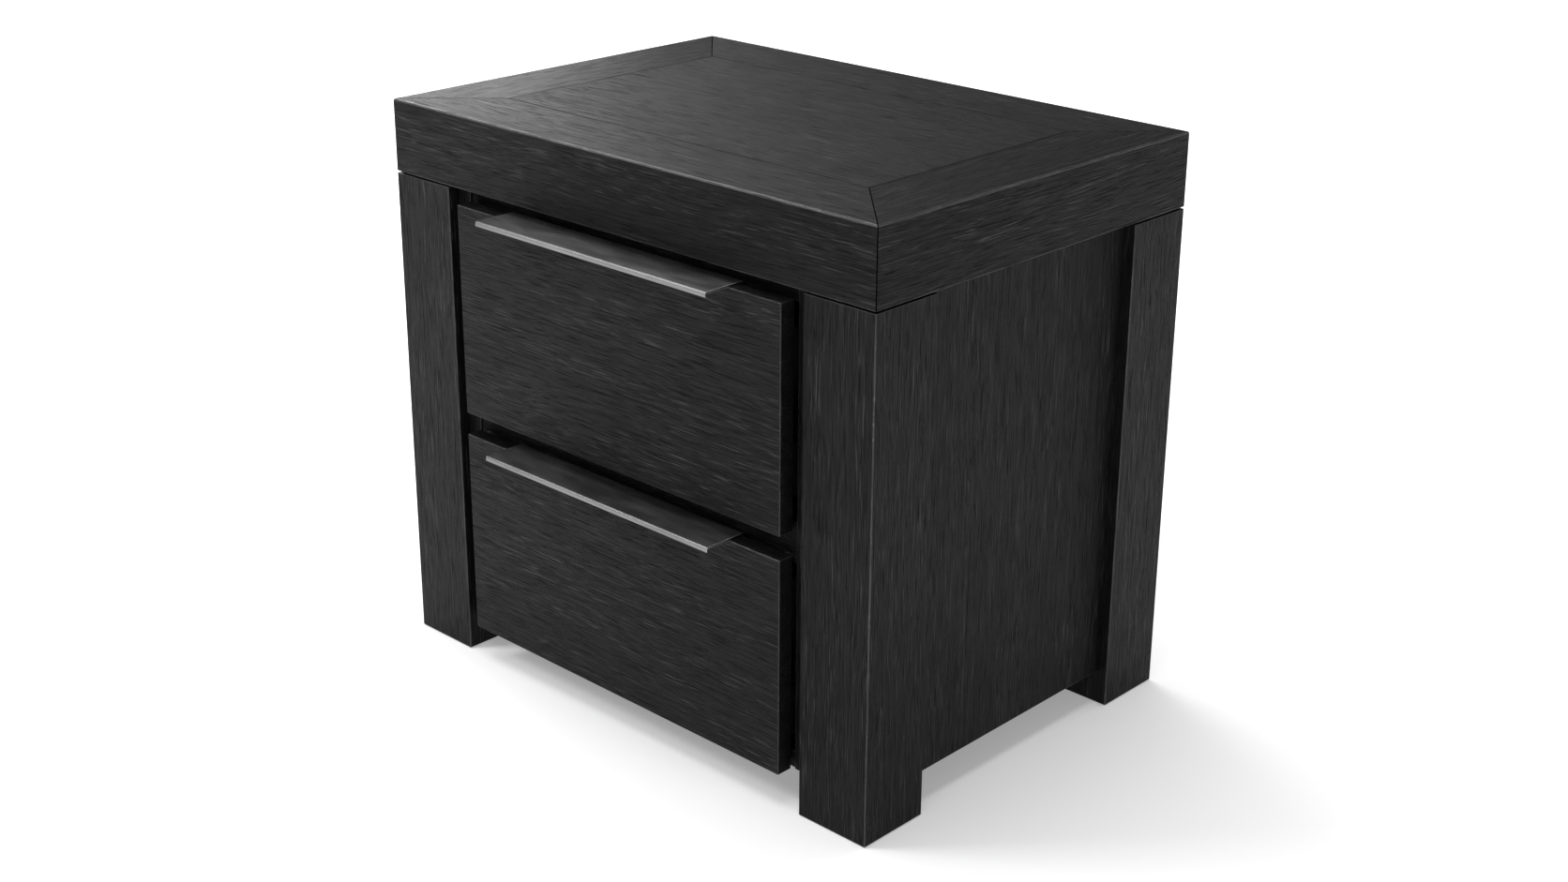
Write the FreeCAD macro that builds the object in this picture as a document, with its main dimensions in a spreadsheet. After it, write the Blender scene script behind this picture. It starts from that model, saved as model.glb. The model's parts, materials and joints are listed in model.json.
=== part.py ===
import FreeCAD, Part
import os
import re

import Sketcher
from FreeCAD import Placement, Rotation, Vector

# A black-stained nightstand: four square legs, a thick mitred top, an inner
# case and two drawers on ball-bearing slides.
# Frame: +X to the right seen from the front, -Y towards the user, +Z up.
# Origin: on the floor, under the middle of the whole piece, grips included.

doc = FreeCAD.newDocument("nightstand")
dims = doc.addObject("Spreadsheet::Sheet", "dims")

DIMENSIONS = (
    ("total_width", 660, "outer faces of the left and right legs"),
    ("total_depth", 460, "front faces of the front legs to the rear faces of the back legs"),
    ("total_height", 600, "floor to the upper face of the top"),
    ("top_thick", 76, "height of the fascia"),
    ("board_thick", 20, "border boards, centre panel and fascia boards of the top"),
    ("border_wide", 84, "mitred border of the top"),
    ("leg_wide", 84, "leg across the width"),
    ("leg_deep", 82, "leg across the depth"),
    ("leg_edge", 1, "chamfer on the long edges of a leg"),
    ("gap_high", 2, "shadow line under the top"),
    ("gap_deep", 4, "how far the shadow line is cut in"),
    ("glide_radius", 15, "foot glide"),
    ("glide_thick", 3, "foot glide"),
    ("glide_sunk", 2, "recess for the glide in the leg"),
    ("panel_thick", 18, "case boards and side panels"),
    ("panel_inset", 12, "side and back panels behind the leg faces"),
    ("tongue", 10, "side panel let into the legs"),
    ("case_low", 37, "underside of the case above the floor"),
    ("case_setback", 14, "front edges of the case sides behind the leg faces"),
    ("rail_setback", 16, "rails behind the leg faces"),
    ("rail_deep", 60, "top rails, front to back"),
    ("middle_high", 42, "rail between the drawers"),
    ("middle_low", 251, "underside of the rail between the drawers"),
    ("front_wide", 450, "drawer front"),
    ("front_high", 224, "drawer front"),
    ("front_thick", 18, "drawer front"),
    ("front_proud", 6, "drawer front ahead of the leg faces"),
    ("front_edge", 0.8, "chamfer round a drawer front"),
    ("lower_front_low", 37, "underside of the lower drawer front"),
    ("upper_front_low", 285, "underside of the upper drawer front"),
    ("box_lift", 28, "drawer box above the underside of its front"),
    ("box_high", 165, "drawer box"),
    ("box_deep", 400, "drawer box"),
    ("box_thick", 12, "boards of the drawer box"),
    ("base_thick", 6, "drawer bottom"),
    ("base_lift", 10, "drawer bottom above the lower edge of the box"),
    ("groove_deep", 6, "groove for the drawer bottom"),
    ("slide_room", 12.7, "space a slide takes between case and box"),
    ("slide_lift", 80, "centre of a slide above the lower edge of the box"),
    ("slide_long", 400, "slide members"),
    ("sheet", 1.2, "slide sheet thickness"),
    ("grip_long", 320, "edge pull"),
    ("grip_reach", 29, "edge pull ahead of the drawer front"),
    ("grip_sheet", 2, "edge pull plate"),
    ("grip_lip", 5, "turned-down nose of the edge pull, plate included"),
    ("grip_flange", 20, "rear flange of the edge pull below the top of the front"),
    ("grip_round", 1.9, "outside radius of the nose"),
    ("screw_radius", 2, "shank of every wood screw"),
    ("head_radius", 4, "head of every wood screw"),
    ("case_screw_long", 32, "case screw with head"),
    ("case_head_high", 3, "case screw head, sunk flush"),
    ("slide_screw_long", 11, "slide screw with head"),
    ("slide_head_high", 1.2, "slide screw head"),
    ("front_screw_long", 24, "screw from the box into the drawer front"),
    ("front_head_high", 2, "head of that screw"),
    ("grip_screw_long", 14, "screw holding the edge pull"),
    ("grip_head_high", 1, "head of that screw"),
    ("bumper_radius", 5, "felt bumper"),
)
for row, (alias, number, note) in enumerate(DIMENSIONS, start=1):
    dims.set("A%d" % row, alias)
    dims.set("B%d" % row, str(number))
    dims.setAlias("B%d" % row, alias)
    dims.set("C%d" % row, note)
doc.recompute()

# Named places, written as sums of the sheet's dimensions.
PLACES = {
    "leg_front": "(front_proud + grip_reach - total_depth) / 2",
    "leg_back": "(front_proud + grip_reach + total_depth) / 2",
    "half_wide": "total_width / 2",
    "top_low": "total_height - top_thick",
    "board_low": "total_height - board_thick",
    "case_outer": "total_width / 2 - leg_wide",
    "case_inner": "total_width / 2 - leg_wide - panel_thick",
    "box_outer": "total_width / 2 - leg_wide - panel_thick - slide_room",
    "box_inner": "total_width / 2 - leg_wide - panel_thick - slide_room - box_thick",
    "panel_outer": "total_width / 2 - panel_inset",
    "panel_inner": "total_width / 2 - panel_inset - panel_thick",
    "front_face": "(front_proud + grip_reach - total_depth) / 2 - front_proud",
    "front_rear": "(front_proud + grip_reach - total_depth) / 2 - front_proud + front_thick",
    "back_rear": "(front_proud + grip_reach + total_depth) / 2 - panel_inset",
    "back_face": "(front_proud + grip_reach + total_depth) / 2 - panel_inset - panel_thick",
    "rail_face": "(front_proud + grip_reach - total_depth) / 2 + rail_setback",
}
WORD = re.compile(r"[a-z]+(?:_[a-z]+)*")


def bind(text):
    """Write a sum of dimension names as an expression on the sheet."""
    def spell(found):
        word = found.group(0)
        return "(%s)" % PLACES[word] if word in PLACES else word

    return WORD.sub(lambda found: "dims." + found.group(0), WORD.sub(spell, text))


def value(text):
    """The same sum as a plain number."""
    result = dims.evalExpression(bind(text))
    return float(getattr(result, "Value", result))


def less(text, base):
    return "(%s) - (%s)" % (text, base)


# ---------------------------------------------------------------- helpers
PLANES = {"x": "YZ_Plane", "y": "XZ_Plane", "z": "XY_Plane"}
CORNERS = {}
PARTS = []


def new_body(label, corner, turn=0):
    """An empty body whose own origin sits at the given corner."""
    body = doc.addObject("PartDesign::Body", label)
    body.Label = label
    body.Placement = Placement(Vector(0, 0, 0), Rotation(Vector(0, 0, 1), turn))
    for axis, text in zip("xyz", corner):
        body.setExpression("Placement.Base." + axis, bind(text))
    CORNERS[label] = corner
    PARTS.append(body)
    return body


def new_sketch(body, axis, lift):
    """A sketch across one axis, lifted along it by the given distance."""
    sketch = body.newObject("Sketcher::SketchObject", body.Name + "_sketch")
    for feature in body.Origin.OriginFeatures:
        if feature.Role == PLANES[axis]:
            sketch.AttachmentSupport = [(feature, "")]
    sketch.MapMode = "FlatFace"
    along = "-(%s)" % lift if axis == "y" else lift
    sketch.setExpression("AttachmentOffset.Base.z", bind(along))
    return sketch


def pin(sketch, edge, point, text, across):
    """Hold one point of the sketch at a bound distance from the origin."""
    if text == "0":
        sketch.addConstraint(Sketcher.Constraint("PointOnObject", edge, point, -1 - (across == "X")))
        return
    rule = Sketcher.Constraint("Distance" + across, -1, 1, edge, point, value(text))
    number = sketch.addConstraint(rule)
    sketch.setExpression("Constraints[%d]" % number, bind(text))


def add_loop(sketch, corners):
    """A closed outline; every corner is tied to the dimension sheet."""
    first = sketch.GeometryCount
    points = [Vector(value(across), value(up), 0) for across, up in corners]
    count = len(points)
    for index in range(count):
        sketch.addGeometry(Part.LineSegment(points[index], points[(index + 1) % count]))
    for index in range(count):
        after = first + (index + 1) % count
        sketch.addConstraint(Sketcher.Constraint("Coincident", first + index, 2, after, 1))
    for index, (across, up) in enumerate(corners):
        pin(sketch, first + index, 1, across, "X")
        pin(sketch, first + index, 1, up, "Y")


def add_circle(sketch, across, up, radius):
    """A hole outline tied to the dimension sheet."""
    centre = Vector(value(across), value(up), 0)
    edge = sketch.addGeometry(Part.Circle(centre, Vector(0, 0, 1), value(radius)))
    number = sketch.addConstraint(Sketcher.Constraint("Radius", edge, value(radius)))
    sketch.setExpression("Constraints[%d]" % number, bind(radius))
    pin(sketch, edge, 3, across, "X")
    pin(sketch, edge, 3, up, "Y")


def pad(body, sketch, length, flip=False):
    feature = body.newObject("PartDesign::Pad", body.Name + "_pad")
    feature.Profile = sketch
    feature.setExpression("Length", bind(length))
    feature.Reversed = flip
    body.Tip = feature
    doc.recompute()
    return feature


def local(body, axis, spot):
    """Shift a spot given in the shared frame into the body's own sketch."""
    base = CORNERS[body.Label]
    pair = {"x": (base[1], base[2]), "y": (base[0], base[2]), "z": (base[0], base[1])}[axis]
    return less(spot[0], pair[0]), less(spot[1], pair[1])


def cut(body, axis, start, toward, depth, loops=(), spots=(), radius=None):
    """Cut outlines or round holes from one level, towards + or - of an axis."""
    before = body.Shape.Volume
    base = CORNERS[body.Label]["xyz".index(axis)]
    sketch = new_sketch(body, axis, less(start, base))
    for corners in loops:
        add_loop(sketch, [local(body, axis, corner) for corner in corners])
    for spot in spots:
        across, up = local(body, axis, spot)
        add_circle(sketch, across, up, radius)
    feature = body.newObject("PartDesign::Pocket", body.Name + "_cut")
    feature.Profile = sketch
    feature.setExpression("Length", bind(depth))
    against_normal = toward < 0 if axis != "y" else toward > 0
    feature.Reversed = not against_normal
    body.Tip = feature
    doc.recompute()
    if body.Shape.Volume > before - 1:
        raise ValueError("a cut in %s removed nothing" % body.Label)
    return feature


def chamfer(body, edges, size):
    solid = body.Tip
    feature = body.newObject("PartDesign::Chamfer", body.Name + "_edges")
    feature.Base = (solid, edges)
    feature.setExpression("Size", bind(size))
    body.Tip = feature
    doc.recompute()


def edges_along(feature, axis):
    """Names of the straight edges that run along one axis."""
    names = []
    for number, edge in enumerate(feature.Shape.Edges, start=1):
        run = edge.Vertexes[-1].Point - edge.Vertexes[0].Point
        if abs(abs(run["xyz".index(axis)]) - run.Length) < 1e-6:
            names.append("Edge%d" % number)
    return names


def rectangle(across, up):
    return [(across[0], up[0]), (across[1], up[0]), (across[1], up[1]), (across[0], up[1])]


def board(label, span_x, span_y, span_z):
    """A plain board between three pairs of faces."""
    body = new_body(label, (span_x[0], span_y[0], span_z[0]))
    sketch = new_sketch(body, "z", "0")
    wide = less(span_x[1], span_x[0])
    deep = less(span_y[1], span_y[0])
    add_loop(sketch, rectangle(("0", wide), ("0", deep)))
    pad(body, sketch, less(span_z[1], span_z[0]))
    return body


def signed(sign, near, far):
    """A span on the right side, or its mirror image on the left."""
    return (near, far) if sign > 0 else ("-(%s)" % far, "-(%s)" % near)


def group(label, solids):
    """Several separate, identical fasteners kept together as one part."""
    feature = doc.addObject("Part::Feature", label)
    feature.Label = label
    feature.Shape = Part.makeCompound(solids)
    feature.Placement = Placement()
    PARTS.append(feature)
    return feature


AXES = {"x": Vector(1, 0, 0), "y": Vector(0, 1, 0), "z": Vector(0, 0, 1)}


def screw(axis, toward, spot, long, head_high):
    """A round-headed wood screw; its spot is the outer face of the head."""
    direction = AXES[axis] * toward
    start = Vector(*[value(text) for text in spot])
    head = Part.makeCylinder(value("head_radius"), value(head_high), start, direction)
    rest = start + direction * value(head_high)
    shank = Part.makeCylinder(value("screw_radius"), value(long) - value(head_high), rest, direction)
    return head.fuse(shank).removeSplitter().Solids[0]


SIDES = (("left", -1), ("right", 1))

# ---------------------------------------------------------------- legs
LEG_SCREW_HEIGHTS = ("100", "262", "440")
LEG_SCREW_INSET = "leg_deep / 2"


def leg_spans(sign, back):
    span_x = signed(sign, "case_outer", "half_wide")
    if back:
        return span_x, ("leg_back - leg_deep", "leg_back")
    return span_x, ("leg_front", "leg_front + leg_deep")


def leg_screw_spots(back):
    """Height and depth of the screws that hold the case to one leg."""
    depth = "leg_back - %s" % LEG_SCREW_INSET if back else "leg_front + %s" % LEG_SCREW_INSET
    return [(depth, height) for height in LEG_SCREW_HEIGHTS]


glides = []
for back, end in ((False, "front"), (True, "back")):
    for side, sign in SIDES:
        span_x, span_y = leg_spans(sign, back)
        leg = board("leg_%s_%s" % (end, side), span_x, span_y, ("glide_thick - glide_sunk", "top_low"))
        chamfer(leg, edges_along(leg.Tip, "z"), "leg_edge")
        outer = rectangle(("%s - 1" % span_x[0], "%s + 1" % span_x[1]),
                          ("%s - 1" % span_y[0], "%s + 1" % span_y[1]))
        inner = rectangle(("%s + gap_deep" % span_x[0], "%s - gap_deep" % span_x[1]),
                          ("%s + gap_deep" % span_y[0], "%s - gap_deep" % span_y[1]))
        cut(leg, "z", "top_low", -1, "gap_high", loops=(outer, inner))
        groove_x = signed(sign, "panel_inner", "panel_outer")
        groove_y = (("leg_back - leg_deep - 1", "leg_back - leg_deep + tongue") if back
                    else ("leg_front + leg_deep - tongue", "leg_front + leg_deep + 1"))
        cut(leg, "z", "top_low", -1, "top_low - case_low", loops=(rectangle(groove_x, groove_y),))
        inner_face = "%d * (case_outer)" % sign
        cut(leg, "x", inner_face, sign, "case_screw_long - panel_thick",
            spots=leg_screw_spots(back), radius="screw_radius")
        middle = ("(%s + %s) / 2" % span_x, "(%s + %s) / 2" % span_y)
        cut(leg, "z", "glide_thick - glide_sunk", 1, "glide_sunk", spots=(middle,), radius="glide_radius")
        foot = Vector(value(middle[0]), value(middle[1]), 0)
        glides.append(Part.makeCylinder(value("glide_radius"), value("glide_thick"), foot))
group("foot_glides", glides)

# ---------------------------------------------------------------- top
# Each border and fascia board is one profile run along its edge of the top,
# then cut to a mitre at both ends. The two also meet in a mitre at the arris.
BORDER_PROFILE = (("0", "top_thick"), ("board_thick", "top_thick - board_thick"),
                  ("border_wide", "top_thick - board_thick"), ("border_wide", "top_thick"))
FASCIA_PROFILE = (("0", "0"), ("board_thick", "0"),
                  ("board_thick", "top_thick - board_thick"), ("0", "top_thick"))
TOP_EDGES = (
    ("front", 0, "total_width", ("-half_wide", "leg_front")),
    ("right", 90, "total_depth", ("half_wide", "leg_front")),
    ("back", 180, "total_width", ("half_wide", "leg_back")),
    ("left", 270, "total_depth", ("-half_wide", "leg_back")),
)


def mitred(label, profile, wide, corner, turn, long):
    """Run a profile along X from the corner and mitre both ends."""
    body = new_body(label, (corner[0], corner[1], "top_low"), turn)
    sketch = new_sketch(body, "x", "0")
    add_loop(sketch, profile)
    pad(body, sketch, long)
    sketch = new_sketch(body, "z", "top_thick + 1")
    beyond = "(%s) + 1" % wide
    add_loop(sketch, (("-1", "-1"), (beyond, beyond), ("-1", beyond)))
    add_loop(sketch, (("%s + 1" % long, "-1"), ("%s + 1" % long, beyond),
                      ("%s - (%s)" % (long, beyond), beyond)))
    feature = body.newObject("PartDesign::Pocket", body.Name + "_mitres")
    feature.Profile = sketch
    feature.setExpression("Length", bind("top_thick + 2"))
    body.Tip = feature
    doc.recompute()
    return body


for edge, turn, long, corner in TOP_EDGES:
    mitred("top_border_" + edge, BORDER_PROFILE, "border_wide", corner, turn, long)
for edge, turn, long, corner in TOP_EDGES:
    mitred("top_fascia_" + edge, FASCIA_PROFILE, "board_thick", corner, turn, long)
board("top_panel", ("-half_wide + border_wide", "half_wide - border_wide"),
      ("leg_front + border_wide", "leg_back - border_wide"), ("board_low", "total_height"))
top_core = board("top_core", ("-half_wide + board_thick", "half_wide - board_thick"),
                 ("leg_front + board_thick", "leg_back - board_thick"), ("top_low", "board_low"))

# ---------------------------------------------------------------- case
RAIL_LOW = "top_low - panel_thick"
BACK_RAIL_SPAN = ("back_face - rail_deep", "back_face")
FRONT_RAIL_SPAN = ("rail_face", "rail_face + rail_deep")
MIDDLE_SPAN = ("rail_face", "rail_face + panel_thick")
CASE_HEIGHT = ("case_low", "top_low")
TOP_SCREW_COLUMNS = ("-150", "0", "150")
BACK_SCREW_HEIGHTS = ("90", "280", "470")


def end_screw_spots():
    """Depth and height of the screws through a case side into the boards between."""
    rail_mid = "top_low - panel_thick / 2"
    floor_mid = "case_low + panel_thick / 2"
    return [
        ("rail_face + 15", rail_mid), ("rail_face + 45", rail_mid),
        ("back_face - 45", rail_mid), ("back_face - 15", rail_mid),
        ("rail_face + panel_thick / 2", "middle_low + middle_high / 2"),
        ("rail_face + 30", floor_mid), ("back_face - 30", floor_mid),
    ]


END_SPOTS = {
    "front_top_rail": (0, 1),
    "back_top_rail": (2, 3),
    "middle_rail": (4,),
    "case_bottom": (5, 6),
}
between = ("-(case_inner)", "case_inner")
crossing = {
    "front_top_rail": board("front_top_rail", between, FRONT_RAIL_SPAN, (RAIL_LOW, "top_low")),
    "back_top_rail": board("back_top_rail", between, BACK_RAIL_SPAN, (RAIL_LOW, "top_low")),
    "middle_rail": board("middle_rail", between, MIDDLE_SPAN,
                         ("middle_low", "middle_low + middle_high")),
    "case_bottom": board("case_bottom", between, ("rail_face", "back_face"),
                         ("case_low", "case_low + panel_thick")),
}
bite = "case_screw_long - panel_thick"
end_spots = end_screw_spots()
for name, body in crossing.items():
    for side, sign in SIDES:
        cut(body, "x", "%d * (case_inner)" % sign, -sign, bite,
            spots=[end_spots[index] for index in END_SPOTS[name]], radius="screw_radius")

for name, depth in (("front_top_rail", "rail_face + rail_deep / 2"),
                    ("back_top_rail", "back_face - rail_deep / 2")):
    holes = [(column, depth) for column in TOP_SCREW_COLUMNS]
    cut(crossing[name], "z", RAIL_LOW, 1, "panel_thick", spots=holes, radius="screw_radius")
    cut(crossing[name], "z", RAIL_LOW, 1, "case_head_high", spots=holes, radius="head_radius")
    cut(top_core, "z", "top_low", 1, bite, spots=holes, radius="screw_radius")

for side, sign in SIDES:
    panel = board("side_panel_" + side, signed(sign, "panel_inner", "panel_outer"),
                  ("leg_front + leg_deep - tongue", "leg_back - leg_deep + tongue"), CASE_HEIGHT)
back_panel = board("back_panel", ("-(case_outer)", "case_outer"), ("back_face", "back_rear"), CASE_HEIGHT)
back_columns = ["%d * (case_outer - panel_thick / 2)" % sign for side, sign in SIDES]
back_spots = [(column, height) for column in back_columns for height in BACK_SCREW_HEIGHTS]
cut(back_panel, "y", "back_rear", -1, "panel_thick", spots=back_spots, radius="screw_radius")
cut(back_panel, "y", "back_rear", -1, "case_head_high", spots=back_spots, radius="head_radius")

SLIDE_SCREW_RUN = ("35", "195", "355")
DRAWERS = (("upper", "upper_front_low"), ("lower", "lower_front_low"))


def slide_centre(front_low):
    return "%s + box_lift + slide_lift" % front_low


def slide_screw_spots(front_low):
    return [("front_rear + 4 + %s" % run, slide_centre(front_low)) for run in SLIDE_SCREW_RUN]


for side, sign in SIDES:
    body = board("case_side_" + side, signed(sign, "case_inner", "case_outer"),
                 ("leg_front + case_setback", "back_face"), CASE_HEIGHT)
    outer_face = "%d * (case_outer)" % sign
    inner_face = "%d * (case_inner)" % sign
    cut(body, "x", outer_face, -sign, "panel_thick", spots=end_spots, radius="screw_radius")
    cut(body, "x", outer_face, -sign, "case_head_high", spots=end_spots, radius="head_radius")
    into_legs = leg_screw_spots(False) + leg_screw_spots(True)
    cut(body, "x", inner_face, sign, "panel_thick", spots=into_legs, radius="screw_radius")
    cut(body, "x", inner_face, sign, "case_head_high", spots=into_legs, radius="head_radius")
    into_slides = [spot for name, low in DRAWERS for spot in slide_screw_spots(low)]
    cut(body, "x", inner_face, sign, "slide_screw_long - slide_head_high - sheet",
        spots=into_slides, radius="screw_radius")
    rear_spots = [("%d * (case_outer - panel_thick / 2)" % sign, height) for height in BACK_SCREW_HEIGHTS]
    cut(body, "y", "back_face", -1, bite, spots=rear_spots, radius="screw_radius")

case_screws = []
for side, sign in SIDES:
    for depth, height in end_spots:
        case_screws.append(screw("x", -sign, ("%d * (case_outer)" % sign, depth, height),
                                 "case_screw_long", "case_head_high"))
    for depth, height in leg_screw_spots(False) + leg_screw_spots(True):
        case_screws.append(screw("x", sign, ("%d * (case_inner)" % sign, depth, height),
                                 "case_screw_long", "case_head_high"))
for depth in ("rail_face + rail_deep / 2", "back_face - rail_deep / 2"):
    for column in TOP_SCREW_COLUMNS:
        case_screws.append(screw("z", 1, (column, depth, RAIL_LOW), "case_screw_long", "case_head_high"))
for column, height in back_spots:
    case_screws.append(screw("y", -1, (column, "back_rear", height), "case_screw_long", "case_head_high"))
group("case_screws", case_screws)

# Felt bumpers on the rails, just clear of the closed drawer fronts.
bumpers = []
for height in ("case_low + panel_thick / 2", "middle_low + bumper_radius",
               "middle_low + middle_high - bumper_radius"):
    for column in ("-(case_inner) + 12", "case_inner - 12"):
        thick = value("rail_face - (front_rear)")
        start = Vector(value(column), value("front_rear"), value(height))
        bumpers.append(Part.makeCylinder(value("bumper_radius") - 0.5, thick, start, AXES["y"]))
group("drawer_bumpers", bumpers)

# ---------------------------------------------------------------- slides
# Three nested channels per slide. Distances are from the case side towards
# the drawer, and up or down from the centre line of the slide.
CHANNELS = {
    "cabinet": {"web": ("0", "sheet"), "tip": "10.2", "half": "22.5"},
    "middle": {"web": ("3.2", "3.2 + sheet"), "tip": "10.8", "half": "17.3"},
    "drawer": {"web": ("slide_room - sheet", "slide_room"), "tip": "5.4", "half": "12.1"},
}


def channel(label, kind, sign, front_low):
    """One slide member: a C-shaped channel run front to back."""
    centre = slide_centre(front_low)
    body = new_body(label, ("%d * (case_inner)" % sign, "front_rear + 4", centre))
    section = CHANNELS[kind]
    web_near, web_far = section["web"]
    half = section["half"]
    lip = "%s - sheet" % half
    if kind == "drawer":
        back, face = web_far, web_near
    else:
        back, face = web_near, web_far
    outline = ((back, "-(%s)" % half), (section["tip"], "-(%s)" % half),
               (section["tip"], "-(%s)" % lip), (face, "-(%s)" % lip),
               (face, lip), (section["tip"], lip), (section["tip"], half), (back, half))
    outline = [("0" if across == "0" else "%d * (%s)" % (-sign, across), up) for across, up in outline]
    sketch = new_sketch(body, "y", "0")
    add_loop(sketch, outline)
    pad(body, sketch, "slide_long", flip=True)
    if kind != "middle":
        holes = slide_screw_spots(front_low)
        level = "%d * (case_inner - (%s))" % (sign, web_far if kind == "cabinet" else web_near)
        toward = sign if kind == "cabinet" else -sign
        cut(body, "x", level, toward, "sheet", spots=holes, radius="screw_radius")
    return body


cabinet_screws = []
for name, low in DRAWERS:
    for side, sign in SIDES:
        channel("%s_slide_cabinet_%s" % (name, side), "cabinet", sign, low)
        for depth, height in slide_screw_spots(low):
            head = "%d * (case_inner - sheet - slide_head_high)" % sign
            cabinet_screws.append(screw("x", sign, (head, depth, height),
                                        "slide_screw_long", "slide_head_high"))
group("cabinet_slide_screws", cabinet_screws)
for name, low in DRAWERS:
    for side, sign in SIDES:
        channel("%s_slide_middle_%s" % (name, side), "middle", sign, low)

# ---------------------------------------------------------------- drawers
FRONT_SCREWS = [(column, rise) for column in ("-150", "150") for rise in ("45", "130")]
GRIP_SCREWS = ("-135", "-45", "45", "135")


def grip(label, top):
    """The edge pull: a plate bent over the top edge of a drawer front."""
    body = new_body(label, ("-grip_long / 2", "front_rear", top))
    nose = "-(front_thick + grip_reach)"
    outline = (("grip_sheet", "-grip_flange"), ("grip_sheet", "grip_sheet"),
               (nose, "grip_sheet"), (nose, "grip_sheet - grip_lip"),
               ("%s + grip_sheet" % nose, "grip_sheet - grip_lip"), ("%s + grip_sheet" % nose, "0"),
               ("0", "0"), ("0", "-grip_flange"))
    sketch = new_sketch(body, "x", "0")
    add_loop(sketch, outline)
    plate = pad(body, sketch, "grip_long")
    bends = []
    for number, edge in enumerate(plate.Shape.Edges, start=1):
        on_top = abs(edge.CenterOfMass.z - value("grip_sheet")) < 1e-6
        if on_top and edge.Length > value("grip_long") - 1:
            bends.append("Edge%d" % number)
    rounding = body.newObject("PartDesign::Fillet", body.Name + "_bends")
    rounding.Base = (plate, bends)
    rounding.setExpression("Radius", bind("grip_round"))
    body.Tip = rounding
    doc.recompute()
    holes = [(column, "(%s) - grip_flange / 2 - 2" % top) for column in GRIP_SCREWS]
    cut(body, "y", "front_rear + grip_sheet", -1, "grip_sheet", spots=holes, radius="screw_radius")
    return body


for name, low in DRAWERS:
    top = "%s + front_high" % low
    box_low = "%s + box_lift" % low
    box_top = "%s + box_lift + box_high" % low
    base_low = "%s + base_lift" % box_low
    box_back = "front_rear + box_deep"
    half_front = "front_wide / 2"
    groove = (base_low, "%s + base_thick" % base_low)

    face = board(name + "_drawer_front", ("-" + half_front, half_front),
                 ("front_face", "front_rear"), (low, top))
    edges = ["Edge%d" % (index + 1) for index in range(len(face.Tip.Shape.Edges))]
    chamfer(face, edges, "front_edge")
    grip_holes = [(column, "(%s) - grip_flange / 2 - 2" % top) for column in GRIP_SCREWS]
    box_holes = [(column, "%s + %s" % (box_low, rise)) for column, rise in FRONT_SCREWS]
    cut(face, "y", "front_rear", -1, "grip_screw_long - grip_head_high - grip_sheet",
        spots=grip_holes, radius="screw_radius")
    cut(face, "y", "front_rear", -1, "front_screw_long - front_head_high - box_thick",
        spots=box_holes, radius="screw_radius")
    grip(name + "_drawer_handle", top)

    for side, sign in SIDES:
        wall = board("%s_drawer_side_%s" % (name, side), signed(sign, "box_inner", "box_outer"),
                     ("front_rear", box_back), (box_low, box_top))
        run = rectangle(("front_rear + box_thick - groove_deep", "%s - box_thick + groove_deep" % box_back),
                        groove)
        cut(wall, "x", "%d * (box_inner)" % sign, sign, "groove_deep", loops=(run,))
        cut(wall, "x", "%d * (box_outer)" % sign, -sign, "slide_screw_long - slide_head_high - sheet",
            spots=slide_screw_spots(low), radius="screw_radius")
    span = ("-(box_inner)", "box_inner")
    strip = rectangle(span, groove)
    inner_front = board(name + "_drawer_box_front", span,
                        ("front_rear", "front_rear + box_thick"), (box_low, box_top))
    cut(inner_front, "y", "front_rear + box_thick", -1, "groove_deep", loops=(strip,))
    cut(inner_front, "y", "front_rear + box_thick", -1, "box_thick", spots=box_holes, radius="screw_radius")
    inner_back = board(name + "_drawer_box_back", span,
                       ("%s - box_thick" % box_back, box_back), (box_low, box_top))
    cut(inner_back, "y", "%s - box_thick" % box_back, 1, "groove_deep", loops=(strip,))
    board(name + "_drawer_bottom", ("-(box_inner) - groove_deep", "box_inner + groove_deep"),
          ("front_rear + box_thick - groove_deep", "%s - box_thick + groove_deep" % box_back), groove)

    for side, sign in SIDES:
        channel("%s_slide_drawer_%s" % (name, side), "drawer", sign, low)
    group(name + "_handle_screws",
          [screw("y", -1, (column, "front_rear + grip_sheet + grip_head_high", height),
                 "grip_screw_long", "grip_head_high") for column, height in grip_holes])
    group(name + "_front_screws",
          [screw("y", -1, (column, "front_rear + box_thick + front_head_high", height),
                 "front_screw_long", "front_head_high") for column, height in box_holes])
    slide_heads = []
    for side, sign in SIDES:
        for depth, height in slide_screw_spots(low):
            head = "%d * (box_outer + sheet + slide_head_high)" % sign
            slide_heads.append(screw("x", -sign, (head, depth, height),
                                     "slide_screw_long", "slide_head_high"))
    group(name + "_slide_screws", slide_heads)

# ---------------------------------------------------------------- checks and files
doc.recompute()
for item in doc.Objects:
    if "Invalid" in item.State or "Error" in item.State:
        raise ValueError("%s did not compute" % item.Label)
os.makedirs("parts", exist_ok=True)
for piece in PARTS:
    if piece.Shape.isNull() or not piece.Shape.isValid():
        raise ValueError("%s has no sound shape" % piece.Label)
    piece.Shape.exportStep("parts/%s.step" % piece.Label)
print("%d parts written" % len(PARTS))
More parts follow.
